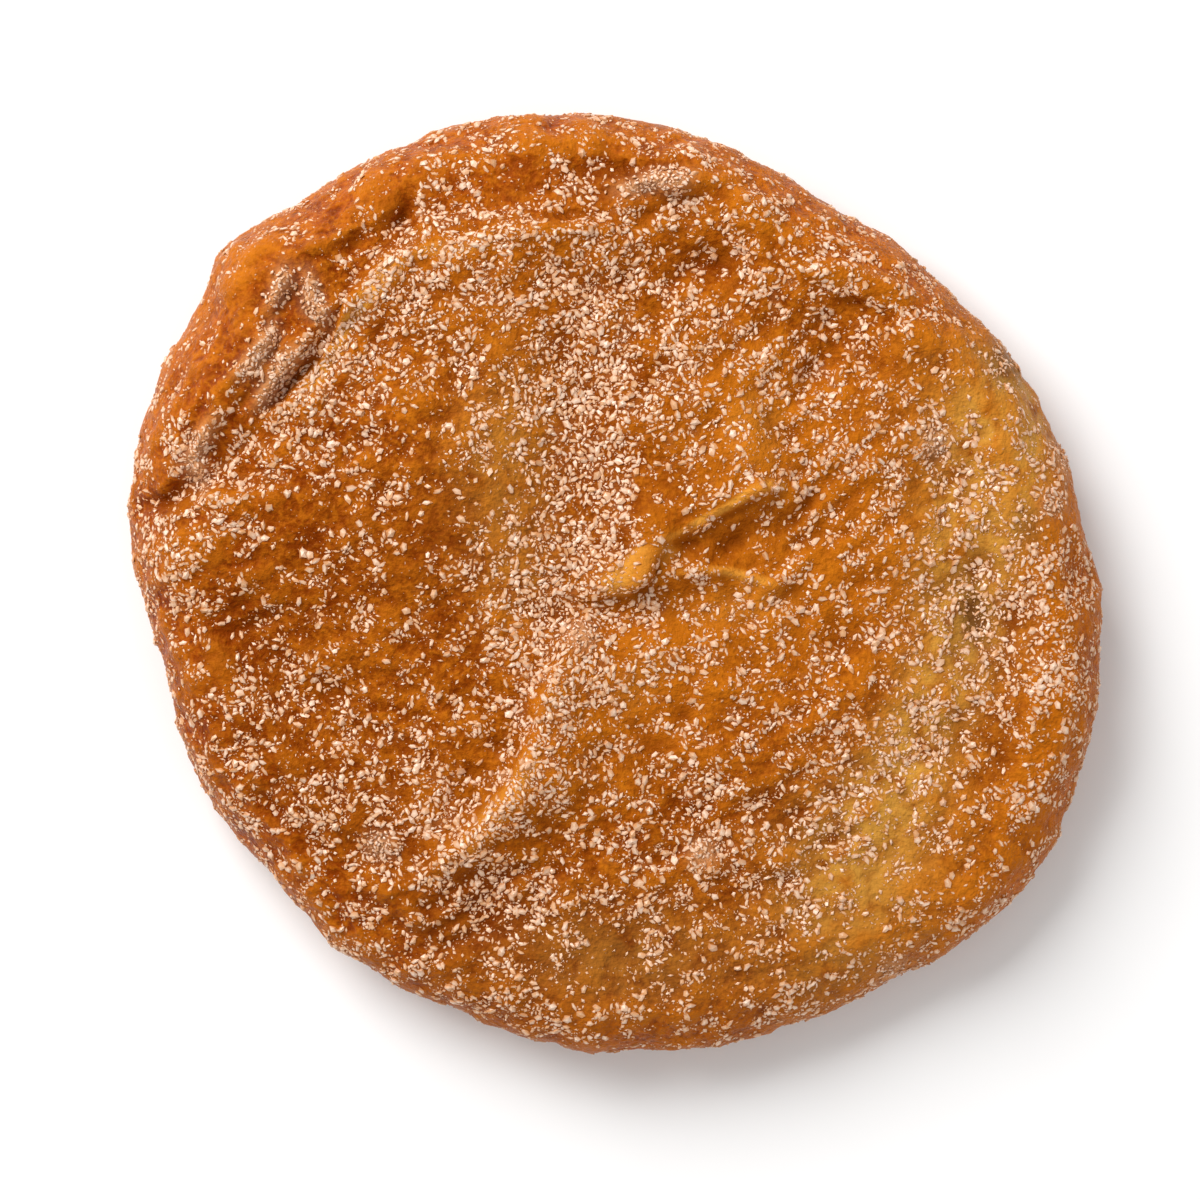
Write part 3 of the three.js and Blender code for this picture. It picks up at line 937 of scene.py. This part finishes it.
# Materials. Colours are linear red, green and blue.
CENTRE_BROWN = (0.32, 0.062, 0.002)
RIM_ORANGE = (0.49, 0.096, 0.0036)
RUDDY = (0.32, 0.046, 0.002)
PALE_TAN = (0.59, 0.28, 0.043)
DEEP_BROWN = (0.155, 0.021, 0.0003)
GOLDEN = (0.56, 0.158, 0.006)
BRIGHT_GOLD = (0.76, 0.33, 0.045)
SCORCHED = (0.11, 0.047, 0.014)
# partly painted shade between dense grains, partly dough that is wet under them
SHADE_UNDER_SUGAR = (0.30, 0.082, 0.02)
CAKED = (0.85, 0.48, 0.24)
# painted shade on the lower sides of grains and on darker facets, with the dough showing through
SUGAR_SHADED_EDGE = (0.58, 0.25, 0.09)
SUGAR_SHADE = (0.72, 0.38, 0.165)
SUGAR_LIGHT = (0.95, 0.77, 0.62)
GLOSS = (1.0, 0.5, 0.12)
CINNAMON = (0.06, 0.018, 0.005)
FLOOR_WHITE = (0.93, 0.925, 0.92)
FLOOR_CONTRAST = 1.02

# Sizes of the clouds and of the fine unevenness of each finish.
DOUGH_MOTTLE = (7.0, 1.4)
CRUMB_MOTTLE = (2.6, 0.6)
SUGAR_MOTTLE = (5.0, 0.35)
CINNAMON_MOTTLE = (4.0, 0.3)
FLOOR_MOTTLE = (60.0, 4.0)

# Shares of gold and of brown that the clouds, crumbs, fine mottle and speckles bring to the dough, and the
# spans of their patterns over which gold and brown come in.
MOTTLE_SHARES = [(0.55, 0.6), (0.6, 0.75), (0.55, 0.7), (0.65, 0.7)]
GOLD_SPAN = (0.5, 0.72)
BROWN_SPAN = (0.5, 0.28)

# Colours laid over the dough: the attribute that says where, the span of it over which the colour comes
# in, the share that the colour reaches and the colour. Pale crumbs have their own, and so has the painted
# shade between grains where sugar lies dense. The gold is partly painted light on crests, and the hollows
# bring painted shade into creases and painted light onto raised parts.
GILDING_AND_PAINTED_LIGHT = [
    # gold, partly painted light on the crests and the tongue's nib
    ("golden", (0, 0.8), 0.8, GOLDEN),
    ("golden", (0.6, 1.0), 0.9, BRIGHT_GOLD),
]
BROWNING_AND_PAINTED_SHADE = [
    # painted shade in the creases, and painted light on the raised parts
    ("hollow", (0.52, 0.95), 0.6, DEEP_BROWN),
    ("hollow", (0.45, 0.1), 0.5, GOLDEN),
    # darker dough, and painted shade in pits, creases and the pocket
    ("dark", (0, 1), 0.7, DEEP_BROWN),
    ("scorched", (0, 1), 0.8, SCORCHED),
    ("caked", (0, 1), 0.45, CAKED),
]
PALE_CRUMB_SPAN = (0.25, 0.5)
DUSTING_SPAN = (0.3, 0.95)
GRAIN_SHADE_FINE_SPAN = (0.4, 0.6)
GRAIN_SHADE_SHARE = 0.8

# Colours of a grain: by its facets, as painted reflections that light some facets up and darken others, by
# clouds, and by how far up on the grain they are, which paints the top lighter and the lower sides darker:
# partly painted shade, partly the dough showing through.
REFLECTION_LIGHT_SPAN = (0.5, 1.0)
REFLECTION_DARK_SPAN = (0.5, 0.0)
REFLECTION_SHARE = 0.55
SUGAR_CLOUD_SPAN = (0.55, 0.8)
SUGAR_CLOUD_SHARE = 0.3
CROWN_SPAN = (0.5, 1.02)

# Gloss of each finish: specular level, roughness over the span of its fine unevenness, and the crust's
# bump, whose distance is in metres.
CRUST_SPECULAR = 0.45
CRUST_IOR = 1.25
SUGAR_SPECULAR = 0.5
DRY_SPECULAR = 0.2
ROUGHNESS_SPAN = (0.3, 0.7)
CRUST_ROUGHNESS = (0.3, 0.55)
SUGAR_ROUGHNESS = (0.16, 0.38)
CINNAMON_ROUGHNESS = 0.7
FLOOR_ROUGHNESS = 0.6
CRUST_BUMP = dict(strength=0.8, distance=0.0005)


def mottle_group():
    """Shared node group: cloudy and fine unevenness on object coordinates."""
    group = bpy.data.node_groups.new("mottle", "ShaderNodeTree")
    group.interface.new_socket("Cloud Size", in_out="INPUT", socket_type="NodeSocketFloat")
    group.interface.new_socket("Fine Size", in_out="INPUT", socket_type="NodeSocketFloat")
    group.interface.new_socket("Cloud", in_out="OUTPUT", socket_type="NodeSocketFloat")
    group.interface.new_socket("Fine", in_out="OUTPUT", socket_type="NodeSocketFloat")
    nodes, links = group.nodes, group.links
    given = nodes.new("NodeGroupInput")
    result = nodes.new("NodeGroupOutput")
    place = nodes.new("ShaderNodeTexCoord")
    for size, output, detail in (("Cloud Size", "Cloud", 4), ("Fine Size", "Fine", 3)):
        per_metre = nodes.new("ShaderNodeMath")
        per_metre.operation = "DIVIDE"
        per_metre.inputs[0].default_value = 1 / MM
        clouds = nodes.new("ShaderNodeTexNoise")
        clouds.inputs["Detail"].default_value = detail
        links.new(given.outputs[size], per_metre.inputs[1])
        links.new(per_metre.outputs[0], clouds.inputs["Scale"])
        links.new(place.outputs["Object"], clouds.inputs["Vector"])
        links.new(clouds.outputs["Fac"], result.inputs[output])
    return group


MOTTLE = mottle_group()


class Paint:
    """A material with a principled surface, and short ways to add nodes to it."""

    def __init__(self, name, specular):
        self.material = bpy.data.materials.new(name)
        self.material.use_nodes = True
        self.nodes = self.material.node_tree.nodes
        self.links = self.material.node_tree.links
        self.surface = self.nodes["Principled BSDF"]
        self.surface.inputs["Specular IOR Level"].default_value = specular

    def mottle(self, cloud_size, fine_size):
        node = self.nodes.new("ShaderNodeGroup")
        node.node_tree = MOTTLE
        node.inputs["Cloud Size"].default_value = cloud_size
        node.inputs["Fine Size"].default_value = fine_size
        return node.outputs["Cloud"], node.outputs["Fine"]

    def attribute(self, name):
        node = self.nodes.new("ShaderNodeAttribute")
        node.attribute_name = name
        return node.outputs["Fac"]

    def ranged(self, value, low, high, new_low=0.0, new_high=1.0):
        node = self.nodes.new("ShaderNodeMapRange")
        node.inputs["From Min"].default_value = low
        node.inputs["From Max"].default_value = high
        node.inputs["To Min"].default_value = new_low
        node.inputs["To Max"].default_value = new_high
        self.links.new(value, node.inputs["Value"])
        return node.outputs["Result"]

    def maths(self, operation, first, second):
        node = self.nodes.new("ShaderNodeMath")
        node.operation = operation
        for socket, value in zip(node.inputs, (first, second)):
            if isinstance(value, (int, float)):
                socket.default_value = value
            else:
                self.links.new(value, socket)
        return node.outputs[0]

    def mixed(self, share, first, second):
        node = self.nodes.new("ShaderNodeMix")
        node.data_type = "RGBA"
        self.links.new(share, node.inputs["Factor"])
        for socket, colour in ((node.inputs[6], first), (node.inputs[7], second)):
            if isinstance(colour, tuple):
                socket.default_value = (*colour, 1)
            else:
                self.links.new(colour, socket)
        return node.outputs[2]

    def layer(self, base, pattern, span, share, colour):
        """A base with a colour over it, which comes in over a span of a pattern and reaches a share."""
        return self.mixed(self.ranged(pattern, *span, 0, share), base, colour)

    def roughen(self, pattern, limits):
        """Lets the roughness follow a pattern between its limits."""
        self.links.new(self.ranged(pattern, *ROUGHNESS_SPAN, *limits), self.surface.inputs["Roughness"])

    def bump(self, height, strength, distance):
        node = self.nodes.new("ShaderNodeBump")
        node.inputs["Strength"].default_value = strength
        node.inputs["Distance"].default_value = distance
        self.links.new(height, node.inputs["Height"])
        self.links.new(node.outputs["Normal"], self.surface.inputs["Normal"])

    def colour(self, value):
        self.links.new(value, self.surface.inputs["Base Color"])


def crust_material():
    paint = Paint("fried_crust", CRUST_SPECULAR)
    paint.surface.inputs["Specular Tint"].default_value = (*GLOSS, 1)
    paint.surface.inputs["IOR"].default_value = CRUST_IOR
    cloud, fine = paint.mottle(*DOUGH_MOTTLE)
    crumb, speckle = paint.mottle(*CRUMB_MOTTLE)
    base = paint.mixed(paint.attribute("rim_band"), CENTRE_BROWN, RIM_ORANGE)
    base = paint.mixed(paint.attribute("ruddy"), base, RUDDY)
    for pattern, (gold, brown) in zip((cloud, crumb, fine, speckle), MOTTLE_SHARES):
        base = paint.layer(base, pattern, GOLD_SPAN, gold, GOLDEN)
        base = paint.layer(base, pattern, BROWN_SPAN, brown, DEEP_BROWN)
    pale = paint.maths("MULTIPLY", paint.attribute("pale"), paint.ranged(crumb, *PALE_CRUMB_SPAN))
    base = paint.mixed(pale, base, PALE_TAN)
    # gold, partly painted light where crests catch the light
    for name, span, share, colour in GILDING_AND_PAINTED_LIGHT:
        base = paint.layer(base, paint.attribute(name), span, share, colour)
    # painted shade between the grains where sugar lies dense, partly wet dough
    dusting = paint.ranged(paint.attribute("dusting"), *DUSTING_SPAN)
    grain_shade = paint.maths("MULTIPLY", dusting, paint.ranged(fine, *GRAIN_SHADE_FINE_SPAN))
    base = paint.mixed(paint.maths("MULTIPLY", grain_shade, GRAIN_SHADE_SHARE), base, SHADE_UNDER_SUGAR)
    # painted shade in hollows and dark patches, painted light on raised parts, scorch and caked sugar
    for name, span, share, colour in BROWNING_AND_PAINTED_SHADE:
        base = paint.layer(base, paint.attribute(name), span, share, colour)
    paint.colour(base)
    paint.roughen(fine, CRUST_ROUGHNESS)
    paint.bump(speckle, **CRUST_BUMP)
    return paint.material


def sugar_material():
    paint = Paint("sugar_crystal", SUGAR_SPECULAR)
    cloud, fine = paint.mottle(*SUGAR_MOTTLE)
    facet_reflection = paint.attribute("facet_reflection")
    base = paint.mixed(paint.attribute("tint"), SUGAR_SHADE, SUGAR_LIGHT)
    # painted reflections: some facets lighter, others darker
    base = paint.layer(base, facet_reflection, REFLECTION_LIGHT_SPAN, REFLECTION_SHARE, SUGAR_LIGHT)
    base = paint.layer(base, facet_reflection, REFLECTION_DARK_SPAN, REFLECTION_SHARE, SUGAR_SHADED_EDGE)
    base = paint.layer(base, cloud, SUGAR_CLOUD_SPAN, SUGAR_CLOUD_SHARE, SUGAR_SHADE)
    # lighter top and darker lower sides: partly painted shade, partly the dough showing through
    base = paint.mixed(paint.ranged(paint.attribute("crown"), *CROWN_SPAN), SUGAR_SHADED_EDGE, base)
    paint.colour(base)
    paint.roughen(fine, SUGAR_ROUGHNESS)
    return paint.material


def cinnamon_material():
    paint = Paint("cinnamon", DRY_SPECULAR)
    paint.surface.inputs["Roughness"].default_value = CINNAMON_ROUGHNESS
    _, fine = paint.mottle(*CINNAMON_MOTTLE)
    paint.colour(paint.mixed(fine, CINNAMON, DEEP_BROWN))
    return paint.material


def floor_material():
    paint = Paint("pale_floor", DRY_SPECULAR)
    paint.surface.inputs["Roughness"].default_value = FLOOR_ROUGHNESS
    cloud, _ = paint.mottle(*FLOOR_MOTTLE)
    whiter = tuple(FLOOR_CONTRAST * value for value in FLOOR_WHITE)
    paint.colour(paint.mixed(cloud, FLOOR_WHITE, whiter))
    return paint.material


# Stage: floor, lights and camera.
def make_floor():
    bpy.ops.object.select_all(action="DESELECT")
    bpy.ops.mesh.primitive_plane_add(size=FLOOR_METRES)
    floor = bpy.context.active_object
    floor.name = "floor"
    floor.data.materials.append(floor_material())


def make_light(name, place, size, power):
    """A soft square light that points at the fritter."""
    lamp = bpy.data.lights.new(name, "AREA")
    lamp.size = size
    lamp.energy = power
    light = bpy.data.objects.new(name, lamp)
    light.location = place
    light.rotation_mode = "QUATERNION"
    light.rotation_quaternion = (-Vector(place)).to_track_quat("-Z", "Y")
    bpy.context.scene.collection.objects.link(light)


def make_lights():
    world = bpy.data.worlds.new("studio")
    world.use_nodes = True
    background = world.node_tree.nodes["Background"]
    background.inputs["Color"].default_value = (1, 1, 1, 1)
    background.inputs["Strength"].default_value = SURROUNDINGS
    bpy.context.scene.world = world
    for light in LIGHTS:
        make_light(**light)


def make_camera():
    """Looks straight down, as the photograph does, with the fritter at its place in the frame."""
    pixel = FRITTER_WIDTH / FRITTER_PIXELS
    camera = bpy.data.cameras.new("camera")
    camera.lens = LENS
    camera.sensor_width = SENSOR
    viewer = bpy.data.objects.new("camera", camera)
    x = (PHOTO_PIXELS / 2 - MIDDLE_PIXEL[0]) * pixel
    y = (MIDDLE_PIXEL[1] - PHOTO_PIXELS / 2) * pixel
    height = PHOTO_PIXELS * pixel * LENS / SENSOR + WIDEST_LEVEL
    viewer.location = (x * MM, y * MM, height * MM)
    bpy.context.scene.collection.objects.link(viewer)
    bpy.context.scene.camera = viewer


bpy.context.scene.view_settings.view_transform = "Standard"
make_toppings(make_crust())
make_floor()
make_lights()
make_camera()
